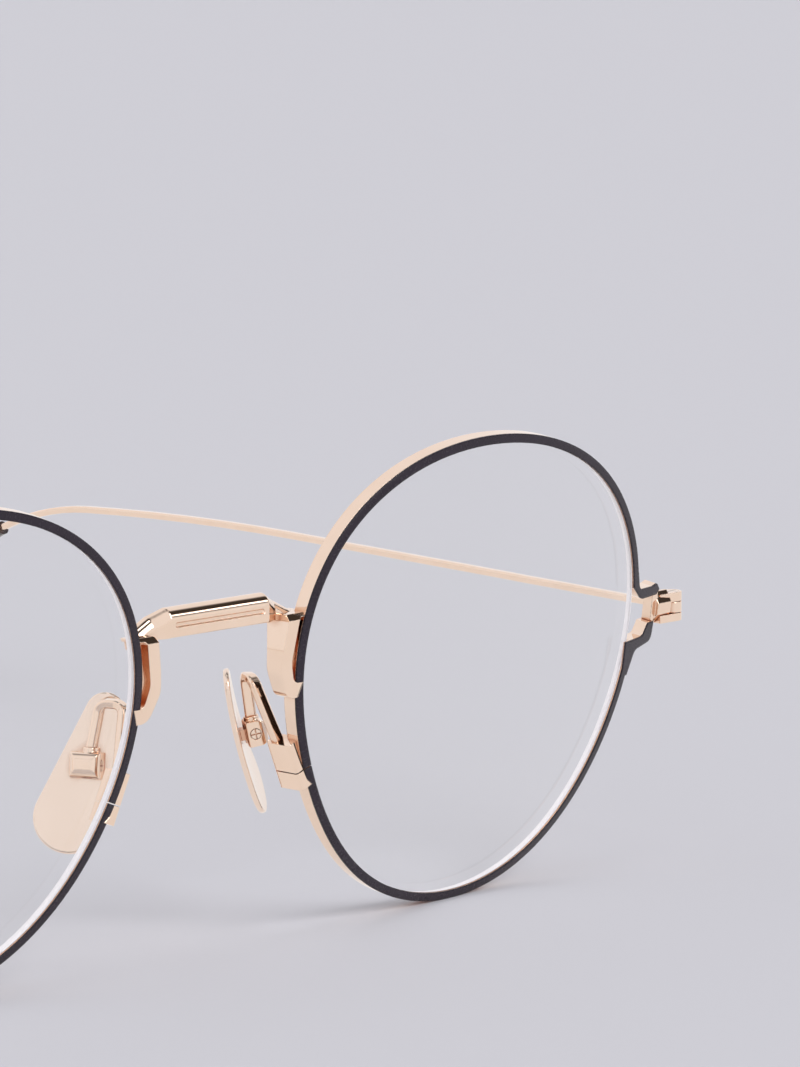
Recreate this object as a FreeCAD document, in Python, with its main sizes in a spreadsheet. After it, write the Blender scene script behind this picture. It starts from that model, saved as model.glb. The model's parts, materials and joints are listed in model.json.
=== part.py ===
import FreeCAD, Part
import os
import Sketcher
from math import cos, sin, tan, radians, pi
from FreeCAD import Vector, Rotation, Placement

# Metal-rimmed eyeglasses, open, standing on their rims and temple ends.
# Millimetres. +X is the wearer's left, -Y the way the wearer looks, +Z up.
# The origin is below the middle of the whole object, on the surface it stands on.
# Every piece is drawn for the wearer's left side and mirrored for the right side.

doc = FreeCAD.newDocument("Eyeglasses")
sheet = doc.addObject("Spreadsheet::Sheet", "Dims")

DRIVING = [
    # the rim's centre line, as a radius that varies with the angle round the lens
    ("rim_radius", 23.45, "mean radius of the rim's centre line"),
    ("rim_oval", 0.62, "wider than tall"),
    ("rim_lean", 0.37, "widest towards the upper nose side"),
    ("rim_pear", 0.69, "fuller above, narrower below"),
    ("rim_square", 0.15, "flatter sides"),
    ("rim_chin", 0.10, "softer lower corners"),
    # rim section, measured from the front of the enamel
    ("base_curve", 136.0, "radius of the lens and rim front"),
    ("rim_width", 0.84, "rim seen from the front"),
    ("rim_depth", 1.50, "rim front to back"),
    ("enamel_depth", 0.16, "dark front layer"),
    ("lens_set_back", 0.28, "lens front behind the enamel"),
    ("lens_thick", 2.00, "lens at its edge"),
    ("bevel_height", 0.22, "lens edge held in the rim's groove"),
    ("bevel_start", 0.55, "groove behind the enamel"),
    ("bevel_width", 0.55, "groove front to back"),
    # how the front sits
    ("lens_centre", 34.13, "lens centre from the middle"),
    ("face_tilt", 7.96, "lower rim towards the back, degrees"),
    ("face_wrap", 4.34, "outer rim towards the back, degrees"),
    ("front_setback", -68.0, "lens centre plane from the origin"),
    # closing block of the rim, at the rim's lower nose side
    ("lock_angle", 197.8, "place round the lens, degrees"),
    ("lock_gap", 0.12, "saw cut through rim and block"),
    ("lock_above", 3.05, "upper half, along the rim"),
    ("lock_below", 1.85, "lower half, along the rim"),
    ("lock_out", 0.90, "block beyond the rim, towards the nose"),
    ("lock_front", 0.22, "block behind the enamel"),
    ("lock_depth", 2.95, "block front to back"),
    ("lock_round", 0.35, "rounding of the block's nose side"),
    ("lock_shaft", 0.35, "closing screw shaft radius"),
    ("lock_head", 0.52, "closing screw head radius"),
    ("lock_head_tall", 0.50, "closing screw head height"),
    ("lock_screw_in", 0.78, "closing screw from the block's nose and back sides"),
    # bridge
    ("bar_half", 5.95, "half the straight part of the bridge bar"),
    ("bar_low", 31.05, "underside of the bar"),
    ("bar_tall", 2.70, "height of the bar"),
    ("bar_thick", 1.45, "bar front to back"),
    ("bar_front", -0.15, "bar front from the lens centre plane"),
    ("bar_reach", 10.9, "end of the shoulders from the middle"),
    ("bar_round", 1.15, "round along the bar's upper front"),
    ("bar_edge", 0.22, "round along the bar's other edges"),
    ("shoulder_run", 1.5, "sloping back from the bar to a shoulder"),
    ("shoulder_drop", 2.60, "fall of the shoulders over their whole length"),
    ("shoulder_back", 0.80, "shoulder behind the bar"),
    ("groove_half", 5.45, "half the groove along the bar's front"),
    ("groove_up", 1.15, "groove above the bar's underside"),
    ("groove_tall", 0.42, "groove height"),
    ("groove_deep", 0.18, "groove depth"),
    ("leg_low", 23.50, "underside of a leg"),
    ("leg_high", 31.55, "top of a leg"),
    # nose pads
    ("pad_x", 10.65, "pad pivot from the middle"),
    ("pad_y", 7.25, "pad pivot behind the lens centre plane"),
    ("pad_z", 19.25, "pad pivot height"),
    ("pad_splay", 46.0, "pads open towards the back, degrees"),
    ("pad_lean", 12.5, "pads open towards the bottom, degrees"),
    ("pad_swing_back", 18.6, "pad lower end towards the back, degrees"),
    ("pad_clear", 0.30, "pad plate from the box"),
    ("pad_thick", 0.56, "pad plate thickness"),
    ("pad_top_round", 1.80, "radius of the pad's upper end"),
    ("pad_low_round", 3.27, "radius of the pad's lower end"),
    ("pad_above", 5.07, "upper round's centre above the pivot"),
    ("pad_below", 5.02, "lower round's centre below the pivot"),
    ("pad_bow", 60.0, "radius of the pad's face"),
    ("pad_pin", 0.30, "pad screw shaft radius"),
    ("pad_pin_head", 0.48, "pad screw head radius"),
    ("pad_head_tall", 0.40, "pad screw head height"),
    ("slot_width", 0.12, "slot in a screw head"),
    ("box_splay", 32.0, "pad screws turned from straight back, degrees"),
    ("box_lean", 11.5, "pad box open towards the bottom, degrees"),
    ("box_nose", 0.85, "pad side of the box from the pivot"),
    ("box_outer", 1.20, "far side of the box from the pivot"),
    ("box_tall", 2.40, "pad box height"),
    ("box_deep", 2.80, "pad box along its screw"),
    ("box_slot", 1.30, "gap between the two ears of the box"),
    ("slot_reach", 0.66, "end of that gap from the pivot, away from the pad"),
    ("slot_roof", 0.85, "top of that gap above the pivot"),
    ("lug_play", 0.06, "gap each side of the pad's tab"),
    ("lug_round", 0.52, "half height of the pad's tab"),
    ("collar_round", 0.72, "collar radius on the box"),
    ("collar_tall", 0.40, "collar height on the box"),
    ("collar_forward", 0.30, "collar before the middle of the box"),
    ("arm_wide", 1.10, "pad arm, across"),
    ("arm_thin", 0.80, "pad arm, through"),
    ("arm_foot", 2.10, "pad arm's foot behind the block's front"),
    ("arm_front_x", 8.30, "front bend of the arm from the middle"),
    ("arm_front_y", 4.70, "front bend behind the lens centre plane"),
    ("arm_back_x", 9.35, "back bend of the arm from the middle"),
    ("arm_back_y", 6.95, "back bend behind the lens centre plane"),
    ("arm_crest", 24.85, "height of the arm's crest"),
    ("arm_bend", 1.00, "radius of both bends"),
    # endpiece, in the lens frame
    ("block_front", 0.25, "block between the rim arms, behind the enamel"),
    ("block_back", 1.40, "back of that block"),
    ("head_start", 28.55, "head from the lens centre"),
    ("head_long", 2.05, "length of the head"),
    ("head_low", -0.30, "underside of the head"),
    ("head_high", 2.88, "top of the head"),
    ("head_front", 2.95, "front of the head"),
    ("head_back", 4.05, "back of the head"),
    ("head_bevel", 1.05, "bevels above and below the head's front"),
    # hinge and temple
    ("hinge_x", 65.60, "hinge axis from the middle"),
    ("hinge_y", 6.20, "hinge axis behind the lens centre plane"),
    ("hinge_z", 23.30, "bottom of the hinge"),
    ("knuckle_round", 1.05, "outer radius of the hinge"),
    ("knuckle_low", 0.79, "height of the lower front knuckle"),
    ("knuckle_mid", 1.10, "height of the temple's knuckle"),
    ("knuckle_top", 0.93, "height of the upper front knuckle"),
    ("hinge_play", 0.04, "gap between knuckles"),
    ("pin_round", 0.42, "hinge screw shaft radius"),
    ("pin_head", 0.70, "hinge screw head radius"),
    ("pin_head_tall", 0.35, "hinge screw head height"),
    ("pin_play", 0.03, "radial clearance round a screw"),
    ("plate_start", -2.60, "front hinge plate from the hinge axis"),
    ("plate_end", -1.20, "end of that plate, clear of the temple's knuckle"),
    ("plate_front", -0.45, "front of that plate from the hinge axis"),
    ("plate_back", 0.05, "back of that plate from the hinge axis"),
    ("temple_spread", 2.0, "temple outwards, degrees"),
    ("temple_offset", 0.62, "temple outside the hinge axis"),
    ("temple_z", 24.56, "height of the straight part's centre"),
    ("temple_tall", 0.74, "temple wire height"),
    ("temple_wide", 0.84, "temple wire width"),
    ("temple_start", 2.75, "wire's start behind the hinge axis"),
    ("temple_straight", 58.0, "end of the straight part"),
    ("bow_radius", 460.0, "gentle bow before the ear"),
    ("bow_end", 93.0, "end of the bow"),
    ("ear_radius", 45.0, "bend over the ear"),
    ("ear_slope", 45.0, "slope of the temple end, degrees"),
    ("sleeve_start", 24.0, "slope where the tip sleeve starts, degrees"),
    ("sleeve_tall", 2.60, "tip sleeve height at its end"),
    ("sleeve_wide", 1.60, "tip sleeve width at its end"),
    ("sleeve_neck", 1.50, "tip sleeve size at its start"),
    ("sleeve_wall", 1.20, "sleeve beyond the end of the wire"),
    ("sleeve_lift", -0.21, "end of the sleeve's centre line, above touching the floor"),
]
for row, (alias, value, note) in enumerate(DRIVING, start=1):
    sheet.set(f"A{row}", note)
    sheet.set(f"B{row}", str(value))
    sheet.setAlias(f"B{row}", alias)
doc.recompute()


def dim(alias):
    """One driving dimension, read from the sheet."""
    return float(sheet.get(alias))


# ---------------------------------------------------------------- helpers

def feature(label, shape, placement=None):
    """A sub-part whose shape is made here from the sheet's dimensions."""
    obj = doc.addObject("Part::Feature", label)
    obj.Label = label
    obj.Shape = shape
    if placement is not None:
        obj.Placement = placement
    return obj


def bind(obj, expressions):
    """Tie an object's properties to the sheet."""
    for prop, expression in expressions.items():
        obj.setExpression(prop, expression)
    return obj


def cylinder(name, radius, height, place=None):
    """Part cylinder whose radius and height follow the sheet."""
    obj = doc.addObject("Part::Cylinder", name)
    bind(obj, {"Radius": radius, "Height": height})
    bind(obj, place or {})
    return obj


def box(name, length, width, height, place=None):
    """Part box whose sides follow the sheet."""
    obj = doc.addObject("Part::Box", name)
    bind(obj, {"Length": length, "Width": width, "Height": height})
    bind(obj, place or {})
    return obj


def fuse(name, shapes):
    obj = doc.addObject("Part::MultiFuse", name)
    obj.Shapes = shapes
    obj.Refine = True
    return obj


def cut(name, base, tool):
    obj = doc.addObject("Part::Cut", name)
    obj.Base = base
    obj.Tool = tool
    return obj


def rounded_wire(corners, lying=False):
    """Closed wire of (x, z, radius) corners joined by tangent arcs; lying puts it in XY."""
    def spot(corner):
        return Vector(corner[0], corner[1], 0) if lying else Vector(corner[0], 0, corner[1])

    count = len(corners)
    joints = []
    for i, corner in enumerate(corners):
        here = spot(corner)
        radius = corner[2]
        to_last = (spot(corners[i - 1]) - here).normalize()
        to_next = (spot(corners[(i + 1) % count]) - here).normalize()
        if radius == 0:
            joints.append((here, None, here))
            continue
        half = to_last.getAngle(to_next) / 2
        run = radius / tan(half)
        middle = (to_last + to_next).normalize() * (radius / sin(half) - radius)
        joints.append((here + to_last * run, here + middle, here + to_next * run))
    edges = []
    for i, (start, middle, end) in enumerate(joints):
        if middle is not None:
            edges.append(Part.Arc(start, middle, end).toShape())
        following = joints[(i + 1) % count][0]
        if end.distanceToPoint(following) > 1e-6:
            edges.append(Part.LineSegment(end, following).toShape())
    return Part.Wire(edges)


def plate(corners, low, high, lying=False):
    """Rounded outline in XZ run from low to high along Y, or lying in XY and run along Z."""
    face = Part.Face(rounded_wire(corners, lying))
    along = Vector(0, 0, 1) if lying else Vector(0, 1, 0)
    face.translate(along * low)
    return face.extrude(along * (high - low))


def soften(shape, radius, wanted):
    """Round the edges that wanted() picks."""
    edges = [edge for edge in shape.Edges if wanted(edge)]
    return shape.makeFillet(radius, edges)


# ------------------------------------------------------- rim, enamel, lens
# Lens frame: X towards the temple, Y towards the back, Z up, origin on the
# front of the enamel at the lens centre.

def rim_point(angle, offset):
    """A point of the rim's centre line, moved outwards by offset."""
    def centre_line(turn):
        radius = (dim("rim_radius") + dim("rim_oval") * cos(2 * turn)
                  - dim("rim_lean") * sin(2 * turn) + dim("rim_pear") * sin(3 * turn)
                  - dim("rim_square") * cos(4 * turn) + dim("rim_chin") * sin(5 * turn))
        return Vector(radius * cos(turn), 0, radius * sin(turn))
    step = 0.001
    along = (centre_line(angle + step) - centre_line(angle - step)).normalize()
    outwards = Vector(along.z, 0, -along.x)
    return centre_line(angle) + outwards * offset


def rim_wire(offset):
    """Smooth closed outline at an offset from the rim's centre line."""
    count = 72
    curve = Part.BSplineCurve()
    points = [rim_point(2 * pi * i / count, offset) for i in range(count)]
    curve.interpolate(Points=points, PeriodicFlag=True)
    return Part.Wire([curve.toShape()])


def prism(face):
    """A front outline run through the whole depth of the front."""
    moved = face.copy()
    moved.translate(Vector(0, -5, 0))
    return moved.extrude(Vector(0, 20, 0))


def dome(depth):
    """Curved stack of everything further back than a depth behind the enamel's front."""
    return Part.makeSphere(dim("base_curve") - depth, Vector(0, dim("base_curve"), 0))


def layer(solid, front, back):
    """The part of a solid between two depths behind the front of the enamel."""
    return solid.common(dome(front)).cut(dome(back))


HALF_RIM = dim("rim_width") / 2
UPPER_ARM = [(23.15, 5.8, 0), (23.45, 4.35, 0.9), (24.95, 2.95, 1.1), (28.05, 2.90, 0.2),
             (28.60, 3.35, 0.15), (27.95, 4.05, 0.25), (27.10, 3.88, 0.8), (24.55, 3.98, 0.75),
             (24.05, 5.8, 0)]
LOWER_ARM = [(22.85, -1.10, 0), (26.15, -1.02, 0.7), (26.95, 0.15, 0), (28.05, 0.15, 0),
             (27.85, -1.75, 0.8), (24.85, -2.20, 0.9), (23.85, -4.6, 0), (22.95, -4.6, 0)]
OPENING = [(22.0, 4.6, 0), (23.45, 4.35, 0.9), (24.95, 2.95, 1.1), (31.0, 2.95, 0),
           (31.0, -1.06, 0), (22.0, -1.12, 0)]


def front_outline():
    """Rim and both endpiece arms as a solid through the whole depth."""
    ring = prism(Part.Face(rim_wire(HALF_RIM))).cut(prism(Part.Face(rim_wire(-HALF_RIM))))
    ring = ring.cut(prism(Part.Face(rounded_wire(OPENING))))
    for arm in (UPPER_ARM, LOWER_ARM):
        ring = ring.fuse(prism(Part.Face(rounded_wire(arm))))
    return ring.removeSplitter()


def lock_frame():
    """Where the rim is sawn through: X towards the lens, Y level to the back, Z up along the rim."""
    angle = radians(dim("lock_angle"))
    here = rim_point(angle, 0)
    along = (rim_point(angle - 0.01, 0) - rim_point(angle + 0.01, 0)).normalize()
    outwards = Vector(-along.z, 0, along.x)
    depth = here.Length ** 2 / 2 / dim("base_curve")
    level = Rotation(Vector(1, 0, 0), -dim("face_tilt"))
    turn = level * Rotation(outwards.negative(), Vector(0, 1, 0), along, "ZYX")
    return Placement(here + Vector(0, depth, 0), turn)


def saw_cut():
    gap = dim("lock_gap")
    tool = Part.makeBox(8, 12, gap, Vector(-4, -4, -gap / 2))
    tool.Placement = lock_frame()
    return tool


def rim_parts():
    """Rim wire, its enamel front and the lens, in the lens frame."""
    outline = front_outline().cut(saw_cut())
    enamel = layer(outline, 0, dim("enamel_depth"))
    rim = layer(outline, dim("enamel_depth"), dim("rim_depth"))
    front = dim("lens_set_back")
    inner = prism(Part.Face(rim_wire(-HALF_RIM)))
    lens = layer(inner, front, front + dim("lens_thick"))
    bevel = prism(Part.Face(rim_wire(dim("bevel_height") - HALF_RIM)))
    start = dim("bevel_start")
    lens = lens.fuse(layer(bevel, start, start + dim("bevel_width"))).removeSplitter()
    return rim.cut(lens), enamel.cut(lens), lens


def pieces(shape, count):
    """The separate solids of a shape, highest first."""
    solids = sorted(shape.Solids, key=lambda solid: -solid.CenterOfMass.z)
    assert len(solids) == count, f"{len(solids)} solids where {count} were meant"
    return solids


rim_shape, enamel_shape, lens_shape = rim_parts()
FACE_TURN = Rotation(Vector(0, 0, 1), dim("face_wrap")) * Rotation(Vector(1, 0, 0), dim("face_tilt"))
FRONT_Y = dim("front_setback")
standing = Part.makeCompound([rim_shape, enamel_shape])
standing.Placement = Placement(Vector(0, 0, 0), FACE_TURN)
LENS_Z = -standing.optimalBoundingBox().ZMin
LENS_PLACE = Placement(Vector(dim("lens_centre"), FRONT_Y, LENS_Z), FACE_TURN)

left_side = []
for name, solid in zip(("rim_upper", "rim_lower"), pieces(rim_shape, 2)):
    left_side.append(feature(name + "_left", solid, LENS_PLACE))
for name, solid in zip(("enamel_upper", "enamel_lower"), pieces(enamel_shape, 2)):
    left_side.append(feature(name + "_left", solid, LENS_PLACE))
left_side.append(feature("lens_left", pieces(lens_shape, 1)[0], LENS_PLACE))
FRAME_SOLIDS = [obj.Shape for obj in left_side]
inner_space = prism(Part.Face(rim_wire(-HALF_RIM)))
inner_space.Placement = LENS_PLACE


# ----------------------------------------------------------------- screws

def plane_of(body, role):
    """One of a body's own origin planes."""
    return next(item for item in body.Origin.OriginFeatures if item.Role == role)


def screw(label, head_radius, head_height, shaft_radius, length, slots, place):
    """Turned body with its head's top at the origin and its shaft down -Z.

    The four sizes are expressions in the sheet's cells; slots is 1 for a plain
    slot across the head and 2 for a cross.
    """
    body = doc.addObject("PartDesign::Body", label)
    body.Label = label
    profile = body.newObject("Sketcher::SketchObject", label + "_profile")
    profile.AttachmentSupport = [(plane_of(body, "XZ_Plane"), "")]
    profile.MapMode = "FlatFace"
    corners = [(0, 0), (1, 0), (1, -1), (0.5, -1), (0.5, -3), (0, -3)]
    count = len(corners)
    for i in range(count):
        start = Vector(*corners[i], 0)
        end = Vector(*corners[(i + 1) % count], 0)
        profile.addGeometry(Part.LineSegment(start, end))
    for i in range(count):
        profile.addConstraint(Sketcher.Constraint("Coincident", i, 2, (i + 1) % count, 1))
        direction = "Vertical" if i % 2 else "Horizontal"
        profile.addConstraint(Sketcher.Constraint(direction, i))
    profile.addConstraint(Sketcher.Constraint("Coincident", 0, 1, -1, 1))
    driven = [("head_radius", "DistanceX", (0, 1), (0, 2), head_radius),
              ("head_height", "DistanceY", (1, 2), (1, 1), head_height),
              ("shaft_radius", "DistanceX", (4, 2), (4, 1), shaft_radius),
              ("length", "DistanceY", (5, 1), (5, 2), length)]
    for name, kind, start, end, expression in driven:
        size = Sketcher.Constraint(kind, *start, *end, 1.0)
        profile.renameConstraint(profile.addConstraint(size), name)
        profile.setExpression("Constraints." + name, expression)
    turned = body.newObject("PartDesign::Revolution", label + "_turned")
    turned.Profile = profile
    turned.ReferenceAxis = (profile, ["V_Axis"])
    turned.Angle = 360
    doc.recompute()
    for number in range(slots):
        slot = body.newObject("PartDesign::SubtractiveBox", f"{label}_slot{number}")
        sides = ("Length", "Width") if number == 0 else ("Width", "Length")
        ends = ("x", "y") if number == 0 else ("y", "x")
        deep = f"0.45 * ({head_height})"
        bind(slot, {sides[0]: f"2.4 * ({head_radius})", sides[1]: "Dims.slot_width",
                    "Height": deep,
                    "Placement.Base." + ends[0]: f"-1.2 * ({head_radius})",
                    "Placement.Base." + ends[1]: "-0.5 * Dims.slot_width",
                    "Placement.Base.z": f"-1 * {deep}"})
    body.Placement = place
    return body


# ---------------------------------------------------- rim's closing block
# Lock frame: origin in the saw cut on the rim's centre line, X towards the
# lens, Y towards the back, Z up along the rim.

LOCK_PLACE = LENS_PLACE.multiply(lock_frame())


def in_frame(frame, x, y, z, turn=Rotation()):
    """A placement at a point of a frame."""
    return frame.multiply(Placement(Vector(x, y, z), turn))


def round_edges(label, base, radius, wanted):
    """Part::Fillet on the base's edges that wanted() picks in the base's own frame."""
    doc.recompute()
    own = base.Placement.inverse()
    picked = [number for number, edge in enumerate(base.Shape.Edges, start=1)
              if wanted(own.multVec(edge.valueAt(edge.FirstParameter)),
                        own.multVec(edge.valueAt(edge.LastParameter)))]
    rounded = doc.addObject("Part::Fillet", label)
    rounded.Base = base
    rounded.Edges = [(number, radius, radius) for number in picked]
    return rounded


def lock_half(label, start, height, hole_radius):
    """Half of the closing block: a rounded box, less rim, lens and screw hole."""
    block = box(label + "_block", "Dims.lock_out + Dims.rim_width", "Dims.lock_depth", height)
    block.Placement = in_frame(LOCK_PLACE, -dim("lock_out") - HALF_RIM, dim("lock_front"), start)

    def upright_on_nose_side(one, other):
        return abs(one.z - other.z) > 0.5 and max(one.x, other.x) < 0.01

    rounded = round_edges(label + "_rounded", block, dim("lock_round"), upright_on_nose_side)
    hole = cylinder(label + "_hole", hole_radius, "3 * Dims.lock_above")
    hole.Placement = in_frame(LOCK_PLACE, SCREW_X, SCREW_Y, -1.5 * dim("lock_above"))
    seat = cylinder(label + "_seat", "Dims.lock_head + Dims.pin_play", "2 * Dims.lock_head_tall")
    seat.Placement = in_frame(LOCK_PLACE, SCREW_X, SCREW_Y,
                              -dim("lock_below") - dim("lock_head_tall"))
    for number, tool in enumerate([hole, seat] + lock_neighbours):
        rounded = cut(f"{label}_less{number}", rounded, tool)
    rounded.Label = label
    return rounded


around_lock = Part.makeBox(6, 12, 10, Vector(-3, -4, -5))
around_lock.Placement = LOCK_PLACE
lock_neighbours = [feature(f"lock_neighbour{number}", solid.common(around_lock))
                   for number, solid in enumerate(FRAME_SOLIDS)
                   if not solid.common(around_lock).isNull() and solid.common(around_lock).Solids]
SCREW_X = -HALF_RIM - dim("lock_out") + dim("lock_screw_in")
SCREW_Y = dim("lock_front") + dim("lock_depth") - dim("lock_screw_in")
HALF_GAP = dim("lock_gap") / 2
lock_upper = lock_half("lock_block_upper_left", HALF_GAP, "Dims.lock_above - Dims.lock_gap / 2",
                       "Dims.lock_shaft")
lock_lower = lock_half("lock_block_lower_left", -dim("lock_below"),
                       "Dims.lock_below - Dims.lock_gap / 2", "Dims.lock_shaft + Dims.pin_play")
upside_down = Rotation(Vector(1, 0, 0), 180)
lock_screw = screw("lock_screw_left", "Dims.lock_head", "Dims.lock_head_tall", "Dims.lock_shaft",
                   "Dims.lock_below + Dims.lock_above - 0.4", 1,
                   in_frame(LOCK_PLACE, SCREW_X, SCREW_Y, -dim("lock_below"), upside_down))
left_side += [lock_upper, lock_lower, lock_screw]


# ----------------------------------------------------------------- bridge

def both_ends(corners):
    """Corners of the wearer's left half, continued as their mirror image."""
    return corners + [(-x, other, radius) for x, other, radius in reversed(corners)]


def bar_run(start, end):
    """The bar's section carried straight from one point of its line to the next."""
    tall = dim("bar_tall")
    thick = dim("bar_thick")
    edge = dim("bar_edge")
    section = Part.Face(rounded_wire([(0, 0, edge), (0, tall, dim("bar_round")),
                                      (thick, tall, edge), (thick, 0, edge)]))
    section.rotate(Vector(0, 0, 0), Vector(0, 0, 1), 90)
    section.translate(start)
    return section.extrude(end - start)


def bridge_bar():
    """Bar with a round upper front, lowered, set-back shoulders and a groove along its front."""
    half = dim("bar_half")
    low = dim("bar_low")
    front = FRONT_Y + dim("bar_front")
    reach = dim("bar_reach")
    run = dim("shoulder_run")
    drop = dim("shoulder_drop")
    set_back = front + dim("shoulder_back")
    first_drop = drop * run / (reach - half)
    line = [Vector(half, front, low), Vector(half + run, set_back, low - first_drop),
            Vector(reach, set_back, low - drop)]
    shoulder = bar_run(line[0], line[1]).fuse(bar_run(line[1], line[2]))
    bar = bar_run(Vector(-half, front, low), line[0])
    bar = bar.fuse(shoulder).fuse(shoulder.mirror(Vector(0, 0, 0), Vector(1, 0, 0)))
    top = low + dim("bar_tall")
    from_front = [(half + 0.2, top, 2.0), (reach, top - drop, 0),
                  (reach, low - 0.6, 0), (half + 1.5, low - 0.1, 1.2), (half - 0.4, low, 1.2)]
    bar = bar.removeSplitter().common(plate(both_ends(from_front), front - 2, front + 4))
    groove_half = dim("groove_half")
    middle = low + dim("groove_up")
    tall = dim("groove_tall") / 2
    corners = [(groove_half, middle + tall, tall * 0.95), (groove_half, middle - tall, tall * 0.95)]
    groove = plate(both_ends(corners), front - 1, front + dim("groove_deep"))
    return bar.cut(groove)


def bridge_leg():
    """Upright strut beside the rim, joined to it at its foot and to the bar above."""
    top = dim("leg_high")
    low = dim("leg_low")
    from_front = [(8.05, top, 0.25), (7.52, 28.3, 4.0), (7.34, 26.2, 2.0), (8.55, low, 1.4),
                  (11.2, low, 0), (11.2, 24.95, 0), (9.2, 24.95, 0.8), (8.62, 27.0, 2.5),
                  (9.32, top - 0.35, 0.5), (11.2, top - 0.3, 0), (11.2, top, 0)]
    from_side = [(0.75, top), (-0.15, top), (-0.68, top - 0.55), (-0.30, 27.2), (-0.05, 25.6),
                 (0.30, low), (2.00, low), (1.75, 26.0), (1.90, 28.3), (2.45, top)]
    leg = plate(from_front, FRONT_Y - 3, FRONT_Y + 5)
    corners = [Vector(5, FRONT_Y + y, z) for y, z in from_side]
    side = Part.Face(Part.makePolygon(corners + corners[:1])).extrude(Vector(8, 0, 0))
    return leg.common(side)


def less(shape, tools):
    """A shape with the space of its neighbours taken out, largest solid kept."""
    for tool in tools:
        shape = shape.cut(tool)
    return max(shape.Solids, key=lambda solid: solid.Volume)


bar_shape = bridge_bar()
leg_shape = less(bridge_leg(), FRAME_SOLIDS + [inner_space])
mirrored_frame = [solid.mirror(Vector(0, 0, 0), Vector(1, 0, 0)) for solid in FRAME_SOLIDS]
mirrored_space = inner_space.mirror(Vector(0, 0, 0), Vector(1, 0, 0))
bar_shape = less(bar_shape, FRAME_SOLIDS + mirrored_frame + [inner_space, mirrored_space])
bridge = feature("bridge_bar", bar_shape)
left_side.append(feature("bridge_leg_left", less(leg_shape, [bar_shape])))


# --------------------------------------------------------------- nose pads
# Pivot frame: origin on the pad screw's axis, X away from the nose, Y along
# the screw towards the back, Z up.

PIVOT = Vector(dim("pad_x"), FRONT_Y + dim("pad_y"), dim("pad_z"))
SPLAY = Rotation(Vector(0, 0, 1), -dim("pad_splay"))
BOX_PLACE = Placement(PIVOT, Rotation(Vector(0, 0, 1), -dim("box_splay"))
                      * Rotation(Vector(0, 1, 0), -dim("box_lean")))
PAD_PLACE = Placement(PIVOT, SPLAY * Rotation(Vector(0, 1, 0), -dim("pad_lean"))
                      * Rotation(Vector(1, 0, 0), dim("pad_swing_back")))


def pad_box():
    """D-shaped clevis with a collar on top for the arm."""
    nose = dim("box_nose")
    outer = dim("box_outer")
    tall = dim("box_tall") / 2
    deep = dim("box_deep") / 2
    outline = [(-nose, tall, 0.25), (outer, tall, 0.85), (outer, -tall, 0.85), (-nose, -tall, 0.25)]
    from_above = [(-nose, -deep, 0.25), (outer, -deep, 0.7), (outer, deep, 0.7), (-nose, deep, 0.9)]
    body = plate(outline, -deep, deep).common(plate(from_above, -tall, tall, lying=True))
    slot = dim("box_slot") / 2
    gap = Part.makeBox(2 * nose + dim("slot_reach"), 2 * slot, 2 * tall + dim("slot_roof"),
                       Vector(-2 * nose, -slot, -2 * tall))
    hole = Part.makeCylinder(dim("pad_pin") + dim("pin_play"), 4 * deep,
                             Vector(0, -2 * deep, 0), Vector(0, 1, 0))
    head = Part.makeCylinder(dim("pad_pin_head") + dim("pin_play"), deep,
                             Vector(0, -2 * deep + dim("pad_head_tall"), 0), Vector(0, 1, 0))
    collar = Part.makeCylinder(dim("collar_round"), dim("collar_tall"),
                               Vector(0, -dim("collar_forward"), tall))
    return body.cut(gap).cut(hole).cut(head).fuse(collar).removeSplitter()


def nose_pad():
    """Bowed drop-shaped plate; X is its thickness, Y its width."""
    top = dim("pad_top_round")
    low = dim("pad_low_round")
    above = dim("pad_above")
    below = dim("pad_below")
    lean = (low - top) / (above + below)
    side = (1 - lean * lean) ** 0.5
    face = Part.Wire([
        Part.Arc(Vector(0, -top * side, above + top * lean), Vector(0, 0, above + top),
                 Vector(0, top * side, above + top * lean)).toShape(),
        Part.LineSegment(Vector(0, top * side, above + top * lean),
                         Vector(0, low * side, low * lean - below)).toShape(),
        Part.Arc(Vector(0, low * side, low * lean - below), Vector(0, 0, -below - low),
                 Vector(0, -low * side, low * lean - below)).toShape(),
        Part.LineSegment(Vector(0, -low * side, low * lean - below),
                         Vector(0, -top * side, above + top * lean)).toShape()])
    column = Part.Face(face)
    column.translate(Vector(-5, 0, 0))
    column = column.extrude(Vector(8, 0, 0))
    bow = dim("pad_bow")
    nose_side = -dim("box_nose") - dim("pad_clear") - dim("pad_thick")
    centre = Vector(nose_side + bow, 0, 0)
    thin = column.common(Part.makeSphere(bow, centre)).cut(
        Part.makeSphere(bow - dim("pad_thick"), centre))
    plate_solid = min(thin.Solids, key=lambda solid: solid.CenterOfMass.x)
    return soften(plate_solid, 0.2, lambda edge: edge.Length > 2)


def pad_lug():
    """Tab on the pad's back with the pivot hole, between the ears of the box."""
    half = dim("box_slot") / 2 - dim("lug_play")
    reach = dim("box_nose") + dim("pad_clear") + 0.35
    radius = dim("lug_round")
    tab = plate([(-reach, radius, 0), (radius, radius, 0.99 * radius),
                 (radius, -radius, 0.99 * radius), (-reach, -radius, 0)], -half, half)
    hole = Part.makeCylinder(dim("pad_pin") + dim("pin_play"), 4 * half,
                             Vector(0, -2 * half, 0), Vector(0, 1, 0))
    return tab.cut(hole)


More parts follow.
